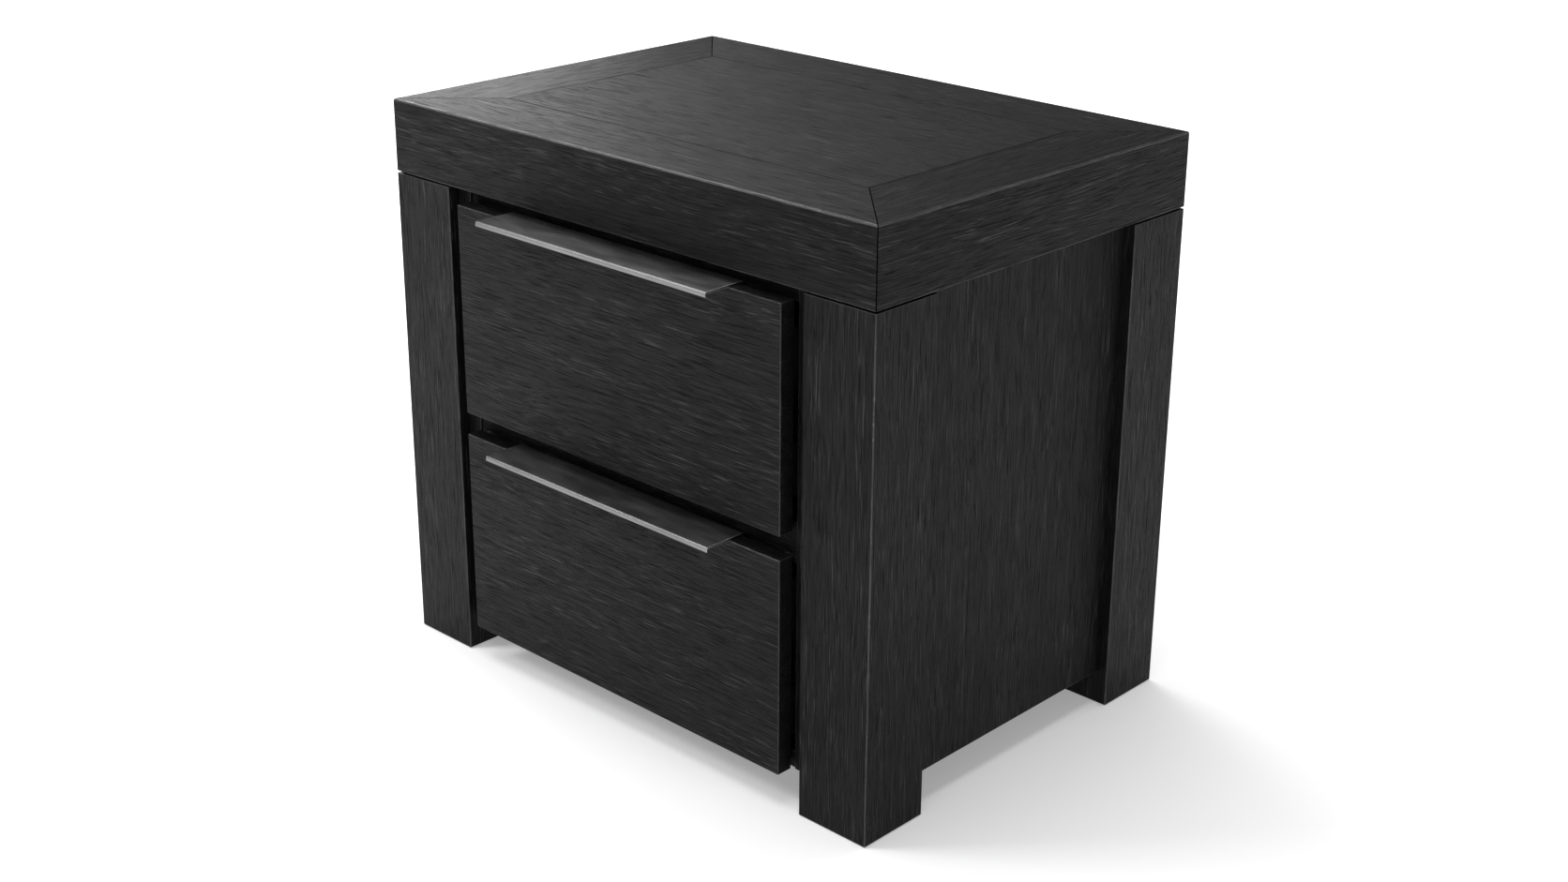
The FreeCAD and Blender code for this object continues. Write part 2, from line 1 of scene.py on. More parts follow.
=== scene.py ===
# %% [markdown]
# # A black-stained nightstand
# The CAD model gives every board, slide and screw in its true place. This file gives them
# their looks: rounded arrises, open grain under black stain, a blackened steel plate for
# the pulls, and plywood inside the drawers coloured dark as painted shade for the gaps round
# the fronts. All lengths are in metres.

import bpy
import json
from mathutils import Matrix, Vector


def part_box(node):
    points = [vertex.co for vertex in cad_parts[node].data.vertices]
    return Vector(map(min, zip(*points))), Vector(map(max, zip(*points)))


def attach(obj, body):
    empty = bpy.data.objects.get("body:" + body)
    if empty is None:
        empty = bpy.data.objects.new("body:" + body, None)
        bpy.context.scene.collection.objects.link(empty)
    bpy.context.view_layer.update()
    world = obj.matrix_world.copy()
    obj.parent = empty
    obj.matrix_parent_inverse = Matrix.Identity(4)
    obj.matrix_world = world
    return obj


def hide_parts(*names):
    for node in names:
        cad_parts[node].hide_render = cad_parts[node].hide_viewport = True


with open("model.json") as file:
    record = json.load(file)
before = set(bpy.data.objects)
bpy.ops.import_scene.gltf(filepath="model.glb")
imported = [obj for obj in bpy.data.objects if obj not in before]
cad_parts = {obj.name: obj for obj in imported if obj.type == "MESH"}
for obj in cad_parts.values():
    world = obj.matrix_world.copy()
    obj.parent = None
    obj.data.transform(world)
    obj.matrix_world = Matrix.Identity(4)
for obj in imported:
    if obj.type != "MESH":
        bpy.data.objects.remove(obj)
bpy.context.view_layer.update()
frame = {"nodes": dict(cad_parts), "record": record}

import json
import math
import random

import bmesh
import bpy
from mathutils import Matrix, Vector

MM = 0.001
nodes = frame["nodes"]

# %% [markdown]
# The camera stands at the right front corner, a little above the top, as one would stand
# to look at a nightstand beside a bed. A lens near 50 mm keeps the legs almost upright.

# %% Camera
EYE = Vector((1.4687, -1.5285, 1.1062))
LOOK = Vector((-0.64292, 0.67969, -0.3531))
LEAN = math.radians(0.37)

camera_data = bpy.data.cameras.new("eye")
camera_data.lens = 50
camera_data.sensor_width = 36
camera_data.shift_y = -0.030
camera = bpy.data.objects.new("eye", camera_data)
camera.rotation_euler = (LOOK.to_track_quat("-Z", "Y").to_matrix()
                         @ Matrix.Rotation(LEAN, 3, "Z")).to_euler()
camera.location = EYE
bpy.context.scene.collection.objects.link(camera)
bpy.context.scene.camera = camera
print("camera at", tuple(round(v, 3) for v in camera.location))

# %% [markdown]
# ## Studio
# Black furniture is lit by what it reflects, not by what falls on it. A large softbox high
# at the front left draws the bright line along the top's front arris, which the paler colour
# painted on the arris helps as a painted highlight, and on the noses of the pulls. A broad
# panel behind the left side lays a sheen over the top, and the rest of the room is kept dim
# so that the right side stays dark. The floor is plain and pale, and the camera sees a white
# room behind it.


# %% Lights, floor and room
def softbox(name, place, aim, wide, high, watts):
    """A rectangular soft light that faces one point."""
    data = bpy.data.lights.new(name, "AREA")
    data.shape = "RECTANGLE"
    data.size = wide
    data.size_y = high
    data.energy = watts
    lamp = bpy.data.objects.new(name, data)
    lamp.location = place
    lamp.rotation_euler = (Vector(aim) - Vector(place)).to_track_quat("-Z", "Y").to_euler()
    bpy.context.scene.collection.objects.link(lamp)
    return lamp


softbox("key", (-1.7, -1.9, 2.3), (0, 0, 0.35), 0.9, 0.9, 36)
softbox("sheen", (-2.5, 0.85, 1.25), (-0.2, -0.1, 0.6), 1.6, 0.9, 36)
softbox("overhead", (-0.5, 0.0, 3.4), (0, 0, 0), 3.2, 3.2, 118)

ROOM_GLOW = 0.21
room = bpy.data.worlds.new("room")
bpy.context.scene.world = room
room.use_nodes = True
room_nodes = room.node_tree.nodes
room_links = room.node_tree.links
backdrop = room_nodes["Background"]
backdrop.inputs["Color"].default_value = (1, 1, 1, 1)
backdrop.inputs["Strength"].default_value = ROOM_GLOW
seen = room_nodes.new("ShaderNodeBackground")
seen.inputs["Color"].default_value = (1, 1, 1, 1)
seen.inputs["Strength"].default_value = 1.0
which = room_nodes.new("ShaderNodeLightPath")
choose = room_nodes.new("ShaderNodeMixShader")
room_links.new(which.outputs["Is Camera Ray"], choose.inputs["Fac"])
room_links.new(backdrop.outputs["Background"], choose.inputs[1])
room_links.new(seen.outputs["Background"], choose.inputs[2])
room_links.new(choose.outputs["Shader"], room_nodes["World Output"].inputs["Surface"])
bpy.context.scene.view_settings.view_transform = "Standard"

floor_mesh = bpy.data.meshes.new("floor")
FLOOR_HALF = 14
floor_corners = [(across * FLOOR_HALF, deep * FLOOR_HALF, 0)
                 for across, deep in ((-1, -1), (1, -1), (1, 1), (-1, 1))]
floor_mesh.from_pydata(floor_corners, [], [(0, 1, 2, 3)])
floor = bpy.data.objects.new("floor", floor_mesh)
bpy.context.scene.collection.objects.link(floor)
print("floor", 2 * FLOOR_HALF, "m square")

# %% [markdown]
# ## Materials
# Each finish is a small node tree. A helper adds nodes and joins them, so that a recipe
# below reads like a list of steps.


# %% Node helpers
class Recipe:
    """A material and short ways to add and join its nodes."""

    def __init__(self, name, color):
        self.material = bpy.data.materials.new(name)
        self.material.use_nodes = True
        self.material.diffuse_color = (*color, 1)
        self.tree = self.material.node_tree
        self.shader = self.tree.nodes["Principled BSDF"]

    def add(self, kind, **inputs):
        """Add a node; an input is a number, a vector or another node's socket."""
        node = self.tree.nodes.new("ShaderNode" + kind)
        for key, value in inputs.items():
            self.feed(node, key.replace("_", " "), value)
        return node

    def feed(self, node, key, value):
        numbered = key[0] == "n" and key[1:].isdigit()
        socket = node.inputs[int(key[1:]) if numbered else key]
        if isinstance(value, bpy.types.NodeSocket):
            self.tree.links.new(value, socket)
        else:
            socket.default_value = value

    def calc(self, kind, first, second):
        """Work out one sum, product or other result from two values."""
        node = self.tree.nodes.new("ShaderNodeMath")
        node.operation = kind
        self.feed(node, "n0", first)
        self.feed(node, "n1", second)
        return node.outputs[0]

    def stretch(self, place, along, across, shift=(0, 0, 0)):
        """Scale a position so that a pattern is long one way and fine the other."""
        node = self.add("Mapping", Vector=place, Scale=(along, across, across), Location=shift)
        return node.outputs["Vector"]

    def noise(self, place, detail=3.0, roughness=0.6, distortion=0.0):
        node = self.add("TexNoise", Vector=place, Scale=1.0, Detail=detail,
                        Roughness=roughness, Distortion=distortion)
        return node.outputs[0]

    def span(self, value, low, high, to_low=0.0, to_high=1.0):
        """Carry one range of numbers over to another, held at both ends."""
        node = self.add("MapRange", Value=value)
        node.inputs["From Min"].default_value = low
        node.inputs["From Max"].default_value = high
        node.inputs["To Min"].default_value = to_low
        node.inputs["To Max"].default_value = to_high
        return node.outputs["Result"]

    def blend(self, factor, first, second):
        node = self.tree.nodes.new("ShaderNodeMix")
        node.data_type = "RGBA"
        self.feed(node, "n0", factor)
        for number, value in ((6, first), (7, second)):
            if isinstance(value, bpy.types.NodeSocket):
                self.tree.links.new(value, node.inputs[number])
            else:
                node.inputs[number].default_value = (*value, 1)
        return node.outputs[2]

    def bump(self, height, distance, strength):
        node = self.add("Bump", Height=height, Distance=distance, Strength=strength)
        self.tree.links.new(node.outputs["Normal"], self.shader.inputs["Normal"])

    def finish(self, **inputs):
        for key, value in inputs.items():
            self.feed(self.shader, key.replace("_", " "), value)
        return self.material


def grey(level):
    return (level, level, level)


# %% [markdown]
# ### Black stain over open grain
# Every board carries its own position, `grain_place`, with its first axis along the fibres.
# Wandering noise bends the fibres slightly. Fine noise stretched along them gives the
# brushed fibres, sharper noise the pores where stain has pooled, and a few pale dashes
# where the brush has caught the lacquer. A mark on the rounded arrises paints them paler
# and makes them smoother: partly the rub of the cloth, partly a painted highlight along the
# arris. A second mark darkens the colour: a little on the boards of the case, as painted
# shade in the recesses, and fully in the joints of the top, where stain has pooled.


# %% Stained wood
# Waves per metre along and across the fibres.
WANDER = (5, 22)
FIGURE = (2.2, 110)
FIBRE = (17, 900)
PORE = (22, 950)
DASH = (24, 800)
PATCH = (5, 60)
FLECK = (160, 420)
RUB = (18, 40)
WANDER_BY = 0.011

# How much light the stain gives back, darkest first.
# Darkest: pooled stain in the joints of the top, and painted shade on the boards of the case.
JOINT_AND_SHADE_STAIN = grey(0.0008)
DEEP_STAIN = grey(0.0012)
PORE_STAIN = grey(0.0022)
THIN_STAIN = (0.0125, 0.0124, 0.0126)
DASH_STAIN = (0.058, 0.058, 0.059)
# Paler arris colour: partly wear, partly a painted highlight along the arris.
WORN_EDGE_AND_HIGHLIGHT = (0.11, 0.109, 0.108)


def stained_wood():
    wood = Recipe("black_stained_wood", (0.02, 0.02, 0.02))
    place = wood.add("Attribute")
    place.attribute_name = "grain_place"
    here = place.outputs["Vector"]
    # Mark of the rounded arrises: painted paler, partly as wear and partly as painted highlight.
    edge = wood.add("Attribute")
    edge.attribute_name = "edge_wear_and_highlight"
    # Darkening mark: painted shade on the case boards, pooled stain in the joints of the top.
    stain_and_shade = wood.add("Attribute")
    stain_and_shade.attribute_name = "pooled_stain_and_shade"

    wander = wood.noise(wood.stretch(here, *WANDER), 2.0, 0.5)
    drift = wood.calc("MULTIPLY", wood.calc("SUBTRACT", wander, 0.5), WANDER_BY)
    offset = wood.add("CombineXYZ", X=0.0, Y=drift, Z=drift)
    moved = wood.add("VectorMath", n0=here, n1=offset.outputs[0])
    moved.operation = "ADD"
    bent = moved.outputs[0]

    figure = wood.span(wood.noise(wood.stretch(bent, *FIGURE), 3.0, 0.6), 0.34, 0.66)
    fibre = wood.span(wood.noise(wood.stretch(bent, *FIBRE), 4.0, 0.68), 0.36, 0.66)
    pore = wood.span(wood.noise(wood.stretch(bent, *PORE, (3, 5, 7)), 2.0, 0.5), 0.56, 0.66)
    dash = wood.span(wood.noise(wood.stretch(bent, *DASH, (9, 2, 4)), 2.0, 0.5), 0.58, 0.68)
    patch = wood.span(wood.noise(wood.stretch(bent, *PATCH, (1, 8, 6)), 2.0, 0.5), 0.40, 0.56)
    dash = wood.calc("MULTIPLY", dash, patch)

    depth = wood.calc("MULTIPLY", wood.calc("ADD", wood.calc("MULTIPLY", figure, 0.45), 0.55), fibre)
    stain = wood.blend(depth, DEEP_STAIN, THIN_STAIN)
    stain = wood.blend(pore, stain, PORE_STAIN)
    stain = wood.blend(wood.calc("MULTIPLY", dash, 0.8), stain, DASH_STAIN)
    # Darken towards near black: painted shade on the case boards, pooled stain in the joints.
    stain = wood.blend(stain_and_shade.outputs["Fac"], stain, JOINT_AND_SHADE_STAIN)
    fleck = wood.noise(wood.stretch(bent, *FLECK, (6, 6, 2)), 2.0, 0.6)
    fleck = wood.span(fleck, 0.56, 0.66)
    rub = wood.noise(wood.stretch(here, *RUB, (2, 1, 9)), 3.0, 0.6)
    rub = wood.span(rub, 0.35, 0.65, 0.25, 0.9)
    rubbed = wood.calc("MAXIMUM", wood.calc("MULTIPLY", rub, 0.30), wood.calc("MULTIPLY", fleck, rub))
    # Paler rounded arrises, broken up by random rubbing: part wear, part painted highlight.
    wear_and_highlight = wood.calc("MULTIPLY", edge.outputs["Fac"], rubbed)
    stain = wood.blend(wear_and_highlight, stain, WORN_EDGE_AND_HIGHLIGHT)

    gloss = wood.span(fibre, 0.0, 1.0, 0.52, 0.40)
    gloss = wood.calc("ADD", gloss, wood.calc("MULTIPLY", pore, 0.25))
    gloss = wood.calc("SUBTRACT", gloss, wood.calc("MULTIPLY", edge.outputs["Fac"], 0.16))
    sheen = wood.calc("ADD", wood.calc("MULTIPLY", edge.outputs["Fac"], 0.42), 0.11)
    sheen = wood.calc("MULTIPLY", sheen, wood.span(stain_and_shade.outputs["Fac"], 0.3, 1.0, 1.0, 0.0))
    relief = wood.calc("SUBTRACT", wood.calc("MULTIPLY", fibre, 0.5), wood.calc("MULTIPLY", pore, 0.8))
    relief = wood.calc("ADD", relief, wood.calc("MULTIPLY", dash, 0.3))
    wood.bump(relief, 0.0006, 1.0)
    return wood.finish(Base_Color=stain, Roughness=gloss, Specular_IOR_Level=sheen)


STAINED = stained_wood()
print("stain has", len(STAINED.node_tree.nodes), "nodes")

# %% [markdown]
# ### Drawer plywood and raw core board
# The drawer boxes are plywood coloured dark: painted shade that keeps the gaps round the fronts dark.
# Broad figure follows the grain, with fine darker fibres. The core of the top is plain
# softwood and hidden.


# %% Plain woods
def plain_wood(name, light, dark, coarse):
    """A sanded board; coarse is the number of figure waves per metre across it."""
    wood = Recipe(name, light)
    place = wood.add("Attribute")
    place.attribute_name = "grain_place"
    here = place.outputs["Vector"]
    figure = wood.span(wood.noise(wood.stretch(here, 2.5, coarse), 3.0, 0.55, 0.4), 0.3, 0.7)
    fibre = wood.span(wood.noise(wood.stretch(here, 25, coarse * 14), 3.0, 0.6), 0.35, 0.7)
    streak = wood.calc("MULTIPLY", fibre, 0.35)
    color = wood.blend(figure, light, dark)
    color = wood.blend(streak, color, tuple(channel * 0.62 for channel in dark))
    wood.bump(fibre, 0.0001, 0.4)
    return wood.finish(Base_Color=color, Roughness=wood.span(fibre, 0, 1, 0.42, 0.55))


# The dark drawer colour is painted shade for the gaps round the drawer fronts.
DRAWER_PLY_PAINTED_DARK = plain_wood("drawer_board", (0.030, 0.027, 0.025), (0.016, 0.0145, 0.0135), 26)
CORE = plain_wood("core_board", (0.48, 0.34, 0.20), (0.36, 0.23, 0.12), 18)

# %% [markdown]
# ### Metals, plastic and felt
# The pulls are steel plate, blackened and finely brushed along their length, so the
# scratches run with X. The slides are sheet steel with a black coat, and the screws are
# bright zinc, both faintly mottled. Glides are moulded plastic and the bumpers are felt.


# %% Metals, plastic and felt
def brushed_plate():
    plate = Recipe("dark_bronzed_plate", (0.35, 0.35, 0.35))
    here = plate.add("TexCoord").outputs["Object"]
    scratch = plate.noise(plate.stretch(here, 14, 2600), 4.0, 0.7)
    cloud = plate.noise(plate.stretch(here, 16, 60, (4, 4, 4)), 3.0, 0.55)
    color = plate.blend(plate.span(cloud, 0.35, 0.68), grey(0.17), (0.26, 0.26, 0.262))
    color = plate.blend(plate.span(scratch, 0.45, 0.75, 0.0, 0.5), color, grey(0.36))
    brushed = plate.span(scratch, 0.3, 0.7, 0.36, 0.48)
    rough = plate.calc("ADD", brushed, plate.span(cloud, 0.3, 0.7, 0.0, 0.08))
    plate.bump(scratch, 0.00004, 0.5)
    return plate.finish(Base_Color=color, Metallic=1.0, Roughness=rough)


def coated_steel(name, light, dark):
    metal = Recipe(name, light)
    here = metal.add("TexCoord").outputs["Object"]
    spangle = metal.noise(metal.stretch(here, 90, 90), 3.0, 0.6)
    drawn = metal.noise(metal.stretch(here, 900, 30, (1, 2, 3)), 2.0, 0.6)
    color = metal.blend(metal.span(spangle, 0.35, 0.65), light, dark)
    metal.bump(drawn, 0.00003, 0.4)
    mottled = metal.span(spangle, 0.3, 0.7, 0.26, 0.40)
    rough = metal.calc("ADD", mottled, metal.span(drawn, 0.3, 0.7, 0.0, 0.08))
    return metal.finish(Base_Color=color, Metallic=1.0, Roughness=rough)


def moulded_plastic():
    plastic = Recipe("glide_plastic", (0.03, 0.03, 0.03))
    here = plastic.add("TexCoord").outputs["Object"]
    grain = plastic.noise(plastic.stretch(here, 1500, 1500), 2.0, 0.5)
    color = plastic.blend(grain, grey(0.022), grey(0.040))
    plastic.bump(grain, 0.00005, 0.5)
    return plastic.finish(Base_Color=color, Roughness=plastic.span(grain, 0.3, 0.7, 0.5, 0.7))


def pressed_felt():
    felt = Recipe("felt", (0.05, 0.05, 0.05))
    here = felt.add("TexCoord").outputs["Object"]
    hair = felt.noise(felt.stretch(here, 2200, 2200), 4.0, 0.7)
    color = felt.blend(hair, grey(0.025), grey(0.085))
    felt.bump(hair, 0.0003, 0.8)
    return felt.finish(Base_Color=color, Roughness=felt.span(hair, 0, 1, 0.85, 1.0))


def pale_floor():
    """Pale paper that glows more with distance, so it stays pale where the lamps fade."""
    paper = Recipe("studio_floor", (0.9, 0.9, 0.9))
    here = paper.add("TexCoord").outputs["Object"]
    mottle = paper.noise(paper.stretch(here, 3, 3), 3.0, 0.5)
    color = paper.blend(mottle, grey(0.90), grey(0.92))
    distance = paper.add("VectorMath", n0=here)
    distance.operation = "LENGTH"
    glow = paper.span(distance.outputs["Value"], 0.9, 3.2, 0.30, 0.95)
    return paper.finish(Base_Color=color, Roughness=0.9, Specular_IOR_Level=0.1,
                        Emission_Color=(1, 1, 1, 1), Emission_Strength=glow)


PLATE = brushed_plate()
SLIDE_STEEL = coated_steel("slide_steel", (0.060, 0.060, 0.062), (0.035, 0.035, 0.036))
SCREW_STEEL = coated_steel("zinc_screw", (0.66, 0.65, 0.61), (0.50, 0.49, 0.46))
PLASTIC = moulded_plastic()
FELT = pressed_felt()
floor_mesh.materials.append(pale_floor())

FINISHES = {
    "black_stained_wood": STAINED, "drawer_board": DRAWER_PLY_PAINTED_DARK, "core_board": CORE,
    "dark_bronzed_plate": PLATE, "slide_steel": SLIDE_STEEL, "zinc_screw": SCREW_STEEL,
    "glide_plastic": PLASTIC, "felt": FELT,
}
slot_of = {part["node"]: part["material_slot"] for part in frame["record"]["subparts"]}
print(len(FINISHES), "finishes")

# %% [markdown]
# ## Boards
# A sawn board has arrises eased with sandpaper, and that small round is what catches the
# light. Each board is copied from its CAD shape, its triangles merged back into whole
# faces, and its long square edges rounded. The new faces are marked to be painted paler,
# partly as wear and partly as a painted highlight along the arris. Then the board gets its
# own place along the fibres, with a random shift so that no two boards show the same piece
# of grain.

# %% Which way the fibres run
ALONG = {"x": (0, 1, 2), "y": (1, 0, 2), "z": (2, 0, 1)}
dice = random.Random(11)
body_of = {node: body for body, members in frame["record"]["behaviour"]["bodies"].items()
           for node in members}


def mark_grain(shape, along):
    """Give every point its place along, across and through the fibres."""
    layer = shape.verts.layers.float_vector.new("grain_place")
    first, second, third = ALONG[along]
    shift = Vector([dice.uniform(2, 9) for _ in range(3)])
    for vertex in shape.verts:
        spot = vertex.co
        vertex[layer] = Vector((spot[first], spot[second], spot[third])) + shift


def place_piece(name, shape, finish, body, replaced, stain_and_shade=0.0):
    """Turn the finished shape into a piece that rides on its body."""
    # Faces not already marked all get one darkening value: painted shade for the boards of the case.
    layer = shape.faces.layers.float.get("pooled_stain_and_shade")
    if layer is None:
        layer = shape.faces.layers.float.new("pooled_stain_and_shade")
        for face in shape.faces:
            face[layer] = stain_and_shade
    mesh = bpy.data.meshes.new(name)
    shape.to_mesh(mesh)
    shape.free()
    mesh.materials.append(finish)
    piece = bpy.data.objects.new(name, mesh)
    bpy.context.scene.collection.objects.link(piece)
    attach(piece, body)
    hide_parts(*replaced)
    return piece


def whole_faces(node):
    """A copy of a CAD shape with its loose triangles joined again."""
    shape = bmesh.new()
    shape.from_mesh(nodes[node].data)
    bmesh.ops.remove_doubles(shape, verts=shape.verts[:], dist=1e-6)
    bmesh.ops.dissolve_limit(shape, angle_limit=math.radians(0.5), verts=shape.verts[:],
                             edges=shape.edges[:])
    return shape


def mark_wear_and_highlight(shape):
    """Slanted narrow faces are eased edges: mark them as rubbed, and for a painted highlight."""
    shape.normal_update()
    layer = shape.faces.layers.float.get("edge_wear_and_highlight") or shape.faces.layers.float.new("edge_wear_and_highlight")
    for face in shape.faces:
        straight = max(abs(part) for part in face.normal)
        face[layer] = 1.0 if straight < 0.995 else 0.0


LONG_EDGE = 5 * MM
SQUARE = math.radians(60)


def eased_board(node, along, ease=0.7 * MM, stain_and_shade=0.0, joint=False):
    """A board with rounded arrises in place of its CAD node; joint edges are dark, and get no wear or
    painted highlight.
    """
    shape = whole_faces(node)
    square = [edge for edge in shape.edges
              if len(edge.link_faces) == 2 and edge.is_convex and edge.calc_length() > LONG_EDGE
              and edge.calc_face_angle() > SQUARE]
    bmesh.ops.bevel(shape, geom=square, offset=ease, segments=2, profile=0.5, affect="EDGES",
                    clamp_overlap=True)
    mark_wear_and_highlight(shape)
    if joint:
        wear_and_highlight_layer = shape.faces.layers.float.get("edge_wear_and_highlight")
        dark = shape.faces.layers.float.new("pooled_stain_and_shade")
        for face in shape.faces:
            face[dark] = face[wear_and_highlight_layer]
            face[wear_and_highlight_layer] = 0.0
    mark_grain(shape, along)
    finish = FINISHES[slot_of[node]]
    return place_piece("eased_" + node, shape, finish, body_of[node], [node], stain_and_shade)


# %% Legs, panels and case
for corner in ("front_left", "front_right", "back_left", "back_right"):
    eased_board("leg_" + corner, "z", ease=0.9 * MM)
# The panels and case boards below get a darker tone as painted shade: a little on the recessed side
# and back panels, more on the boards inside the case.
for side in ("left", "right"):
    eased_board("side_panel_" + side, "z", stain_and_shade=0.12)
    eased_board("case_side_" + side, "z", stain_and_shade=0.3)
eased_board("back_panel", "x", stain_and_shade=0.12)
for board in ("case_bottom", "front_top_rail", "back_top_rail", "middle_rail"):
    eased_board(board, "x", stain_and_shade=0.3)
eased_board("top_core", "x")
eased_board("top_panel", "x", ease=0.5 * MM, joint=True)
print("case boards done")

# %% [markdown]
# The drawer fronts have clean arrises, and the boxes behind them are plywood. Their grain
# runs along each board.

# %% Drawers
for drawer in ("upper", "lower"):
    eased_board(drawer + "_drawer_front", "x", ease=1.0 * MM)
    for side in ("left", "right"):
        eased_board("%s_drawer_side_%s" % (drawer, side), "y", ease=0.8 * MM)
    for end in ("front", "back"):
        eased_board("%s_drawer_box_%s" % (drawer, end), "x", ease=0.8 * MM)
    eased_board(drawer + "_drawer_bottom", "x", ease=0.3 * MM)
print("drawers done")

# %% [markdown]
# ## The edge of the top
# A border board on top and a fascia board in front meet in a mitre along the arris, so the
# pair looks like one thick, folded board. Each pair is drawn as one folded profile, run
# along its edge, with its ends cut at 45 degrees. The arris is rounded, and the mitred ends
# are chamfered. Stain pools in the chamfers, which leaves the fine dark line of a mitre.

# %% Folded edge boards
ARRIS = 2.0 * MM
JOINT = 0.6 * MM
CHAMFER = 0.5 * MM
FOOT = 0.8 * MM
low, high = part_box("top_fascia_front")
top_low, top_high = low[2], high[2]
left_x, right_x = low[0], high[0]
front_y = low[1]
back_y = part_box("top_fascia_back")[1][1]
fascia_thick = high[1] - low[1]
border_low, border_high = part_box("top_border_front")
border_wide = border_high[1] - border_low[1]
board_thick = border_high[2] - border_low[2]


def arc(centre, radius, start, end, steps):
    """Points on part of a circle; angles in degrees."""
    points = []
    for step in range(steps + 1):
        turn = math.radians(start + (end - start) * step / steps)
        points.append((centre[0] + radius * math.cos(turn), centre[1] + radius * math.sin(turn)))
    return points


def folded_profile(inset):
    """Inward distance and height of the folded board, counter-clockwise from the inner foot."""
    tall = top_high - top_low
    under = tall - board_thick
    points = [(fascia_thick - inset, inset), (fascia_thick - inset, under + inset)]
    points += [(border_wide - inset, under + inset)]
    points += arc((border_wide - JOINT, tall - JOINT), JOINT - inset, 0, 90, 2)
    points += arc((ARRIS, tall - ARRIS), ARRIS - inset, 90, 180, 5)
    points += arc((FOOT, FOOT), FOOT - inset, 180, 270, 3)
    return points


def folded_board(edge, turn, corner, length):
    """One folded board, its ends cut at 45 degrees and chamfered along the joint."""
    tall = top_high - top_low
    shape = bmesh.new()
    wear_and_highlight_layer = shape.faces.layers.float.new("edge_wear_and_highlight")
    dark = shape.faces.layers.float.new("pooled_stain_and_shade")
    rings = []
    for far, inset in ((False, CHAMFER), (False, 0.0), (True, 0.0), (True, CHAMFER)):
        back_off = (CHAMFER - inset) * math.sqrt(2)
        ring = []
        for inward, height in folded_profile(inset):
            along = inward + back_off
            ring.append(shape.verts.new((length - along if far else along, inward, height)))
        rings.append(ring)
    count = len(rings[0])
    for step in range(3):
        for index in range(count):
            after = (index + 1) % count
            face = shape.faces.new((rings[step][index], rings[step][after],
                                    rings[step + 1][after], rings[step + 1][index]))
            spot = face.calc_center_median()
            on_arris = spot.y < ARRIS and spot.z > tall - ARRIS
            on_foot = spot.y < FOOT and spot.z < FOOT
            on_inside = spot.y > border_wide - JOINT and spot.z > tall - JOINT
            in_joint = step != 1 or on_inside
            face[dark] = 1.0 if in_joint else 0.0
            # The rounded arris and foot are painted paler: part wear, part painted highlight.
            face[wear_and_highlight_layer] = 1.0 if (on_arris or on_foot) and not in_joint else 0.0
    shape.faces.new(list(reversed(rings[0])))
    shape.faces.new(rings[-1])
    bmesh.ops.recalc_face_normals(shape, faces=shape.faces[:])
    mark_grain(shape, "x")
    move = Matrix.Translation((corner[0], corner[1], top_low)) @ Matrix.Rotation(turn, 4, "Z")
    bmesh.ops.transform(shape, matrix=move, verts=shape.verts[:])
    piece = place_piece("top_edge_" + edge, shape, STAINED, "case",
                        ["top_border_" + edge, "top_fascia_" + edge])
    return piece


quarter = math.radians(90)
folded_board("front", 0, (left_x, front_y), right_x - left_x)
folded_board("right", quarter, (right_x, front_y), back_y - front_y)
folded_board("back", 2 * quarter, (right_x, back_y), right_x - left_x)
folded_board("left", 3 * quarter, (left_x, back_y), back_y - front_y)
print("folded boards", round(top_high - top_low, 4), "m tall")

# %% [markdown]
# ## Edge pulls
# A pull is one strip of plate, bent three times: down behind the drawer front, flat over
# its top edge and forward, and down again at the nose. That is a profile run along a
# length, so a Geometry Nodes tree makes it. It rounds the bends of a drawn outline, fills
# it and extrudes it.


